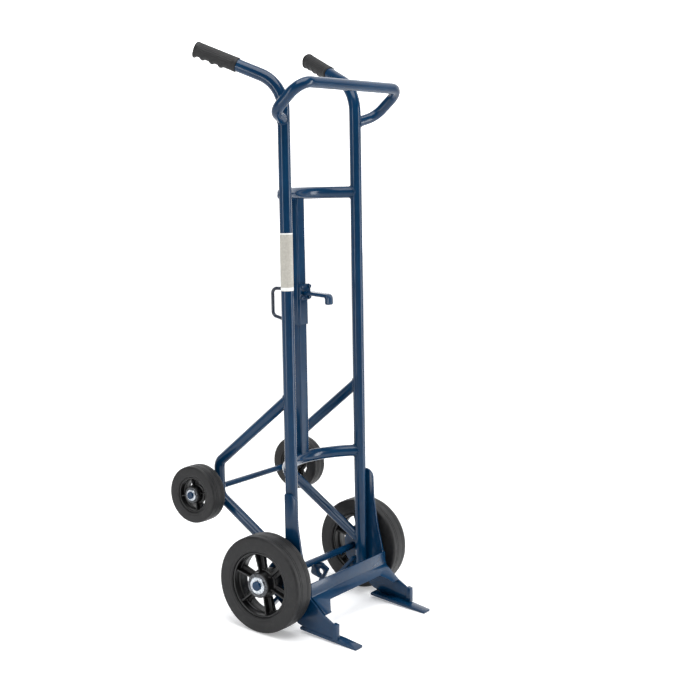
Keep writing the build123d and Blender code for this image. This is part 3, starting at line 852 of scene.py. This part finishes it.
@dataclass
class Welds:
    """Rippled fillet beads round the tube joints of the right-hand upright, and their mirrors."""

    axes: TruckAxes
    maker: Maker
    upright_x: float = 157.0
    upright_radius: float = 15.875
    bead: float = 2.3
    points: int = 72
    joints: tuple[Joint, ...] = (
        Joint("upper_crossbar", 1116, 0, (0.604, 0.797, 0), 15.6),
        Joint("lower_crossbar", 408, 0, (0.604, 0.797, 0), 15.6),
        Joint("top_loop", 1298, 0, (-0.905, -0.323, 0.277), 14.0),
        Joint("rear_tube_top", 602, 0, (0, 0.778, -0.629), 14.0),
        Joint("rear_tube_foot", 152, 0, (0, 0.822, 0.569), 14.0))

    def build(self) -> None:
        """Makes a bead at every joint, on both sides."""
        for joint in self.joints:
            bead = self.make_bead(joint)
            mirrored = moved_copy(bead, self.maker.mirror)
            self.maker.finish(bead, f"right_{joint.name}_weld", "frame", Slot.BLUE)
            self.maker.finish(mirrored, f"left_{joint.name}_weld", "frame", Slot.BLUE)

    def make_bead(self, joint: Joint) -> bpy.types.Object:
        """Lays a ring round the tube's end on the upright's side, and thickens it.

        Args:
            joint: where the tube meets the upright.

        Returns:
            The bead as a mesh.
        """
        along = Vector(joint.direction).normalized()
        across = along.orthogonal().normalized()
        other = along.cross(across)
        bpy.ops.object.select_all(action="DESELECT")
        bpy.ops.mesh.primitive_circle_add(vertices=self.points)
        piece = bpy.context.object
        start = Vector((-self.upright_x, joint.y, joint.height))
        for index, vertex in enumerate(piece.data.vertices):
            angle = math.tau * index / self.points
            ring = start + joint.radius * (math.cos(angle) * across + math.sin(angle) * other)
            vertex.co = self.on_upright(ring, along)
        take(piece)
        bpy.ops.object.convert(target="CURVE")
        piece.data.dimensions = "3D"
        piece.data.bevel_depth = self.bead
        piece.data.bevel_resolution = 3
        for index, point in enumerate(piece.data.splines[0].points):
            point.radius = (1 + 0.16 * math.sin(index * math.tau / 3.0)
                            + 0.08 * math.sin(index * 1.7))
        bpy.ops.object.convert(target="MESH")
        piece = bpy.context.object
        piece.data.transform(self.axes.matrix() @ Matrix.Scale(MM, 4))
        smooth(piece, 70)
        return piece

    def on_upright(self, point: Vector, along: Vector) -> Vector:
        """Slides a point along a tube's direction out to the upright's surface."""
        from_axis = Vector((point.x + self.upright_x, point.y, 0))
        flat = Vector((along.x, along.y, 0))
        a, b = flat.length_squared, 2 * from_axis.dot(flat)
        c = from_axis.length_squared - (self.upright_radius + 0.2) ** 2
        root = math.sqrt(max(b * b - 4 * a * c, 0.0))
        return point + along * ((-b + root) / (2 * a))


# ---- camera, floor and light ----
@dataclass
class Studio:
    """A pale floor and wall, soft lights and the camera, in metres and degrees."""

    camera_place: tuple[float, float, float] = (-2.7753, -1.9657, 1.3337)
    heading: float = 33.957
    pitch: float = -10.414
    roll: float = 3.216
    lens_mm: float = 67.3
    sensor_mm: float = 36.0
    floor_size: float = 40.0
    wall_distance: float = 9.0
    surround: str = "c9ced4"
    surround_strength: float = 0.3
    floor_glow: float = 0.3
    wall_glow: float = 1.0
    lights: list[tuple[str, tuple, tuple, tuple, float]] = field(default_factory=lambda: [
        ("left_strip_softbox", (-3.0, 0.7, 1.25), (0.0, 0.0, 0.75), (0.5, 2.6), 32.0),
        ("right_strip_softbox", (1.4, -2.5, 1.25), (0.0, 0.0, 0.75), (0.6, 2.6), 46.0),
        ("overhead_softbox", (-0.6, -0.6, 4.2), (0.0, 0.0, 0.3), (3.2, 3.2), 165.0)])

    def build(self) -> None:
        """Makes the camera, the floor, the wall, the lights and the pale surroundings."""
        self.make_camera()
        self.make_paper("studio_floor", (0, 0, 0), (0, 0, 0), self.floor_glow)
        heading = math.radians(self.heading)
        self.make_paper("studio_wall", (math.cos(heading) * self.wall_distance,
                                        math.sin(heading) * self.wall_distance, 0),
                        (math.pi / 2, 0, heading + math.pi / 2), self.wall_glow)
        for name, place, aim, size, power in self.lights:
            self.make_light(name, Vector(place), Vector(aim), size, power)
        world = bpy.data.worlds.new("pale_studio")
        bpy.context.scene.world = world
        world.use_nodes = True
        background = world.node_tree.nodes["Background"]
        background.inputs["Color"].default_value = linear(self.surround)
        background.inputs["Strength"].default_value = self.surround_strength
        bpy.context.scene.view_settings.view_transform = "Standard"

    def make_camera(self) -> None:
        """Places the camera."""
        bpy.ops.object.camera_add(location=self.camera_place)
        camera = bpy.context.object
        camera.name = "camera"
        turn = (Matrix.Rotation(math.radians(self.heading - 90), 4, "Z")
                @ Matrix.Rotation(math.radians(90 + self.pitch), 4, "X")
                @ Matrix.Rotation(math.radians(self.roll), 4, "Z"))
        camera.rotation_euler = turn.to_euler()
        camera.data.lens = self.lens_mm
        camera.data.sensor_width = self.sensor_mm
        bpy.context.scene.camera = camera

    def make_paper(self, name: str, place: tuple, turn: tuple, glow: float) -> None:
        """Hangs or lays a large sheet of white paper.

        Args:
            name: its name.
            place: its middle.
            turn: its turn about X, Y and Z in radians.
            glow: how brightly it is lit from behind.
        """
        bpy.ops.mesh.primitive_plane_add(size=self.floor_size, location=place, rotation=turn)
        sheet = bpy.context.object
        sheet.name = name
        # Seamless white paper: matt, with a fine tooth.
        paper = Finish(f"white_paper_{name}", "f8f8f8", "f5f5f5", (0.85, 0.95), 400, 3.0, 0.05)
        material = paper.build()
        shader = next(n for n in material.node_tree.nodes if n.type == "BSDF_PRINCIPLED")
        shader.inputs["Emission Color"].default_value = (1, 1, 1, 1)
        shader.inputs["Emission Strength"].default_value = glow
        sheet.data.materials.append(material)

    def make_light(self, name: str, place: Vector, aim: Vector, size: tuple[float, float],
                   power: float) -> None:
        """Hangs one softbox.

        Args:
            name: the light's name.
            place: where it hangs.
            aim: the point it faces.
            size: its width and height.
            power: its power in watts.
        """
        bpy.ops.object.light_add(type="AREA", location=place)
        lamp = bpy.context.object
        lamp.name = name
        lamp.data.shape = "RECTANGLE"
        lamp.data.size, lamp.data.size_y = size
        lamp.data.energy = power
        lamp.rotation_euler = (aim - place).to_track_quat("-Z", "Y").to_euler()


def main() -> None:
    """Builds the scene in order and reports each piece."""
    Studio().build()
    palette = Palette()
    palette.dress_cad()
    axes, maker = TruckAxes(), Maker(palette)
    for end, sizes in (("front", FRONT_WHEEL), ("rear", REAR_WHEEL)):
        for side in ("right", "left"):
            Wheel(f"{end}_{side}", sizes, maker).build()
    AxleEnds("front_axle", bore=9.6, step=5.0, maker=maker).build()
    AxleEnds("rear_axle", bore=8.0, step=3.5, maker=maker).build()
    Grip(axes, maker).build()
    SteelParts(maker).build()
    Welds(axes, maker).build()


if __name__ == "__main__":
    main()
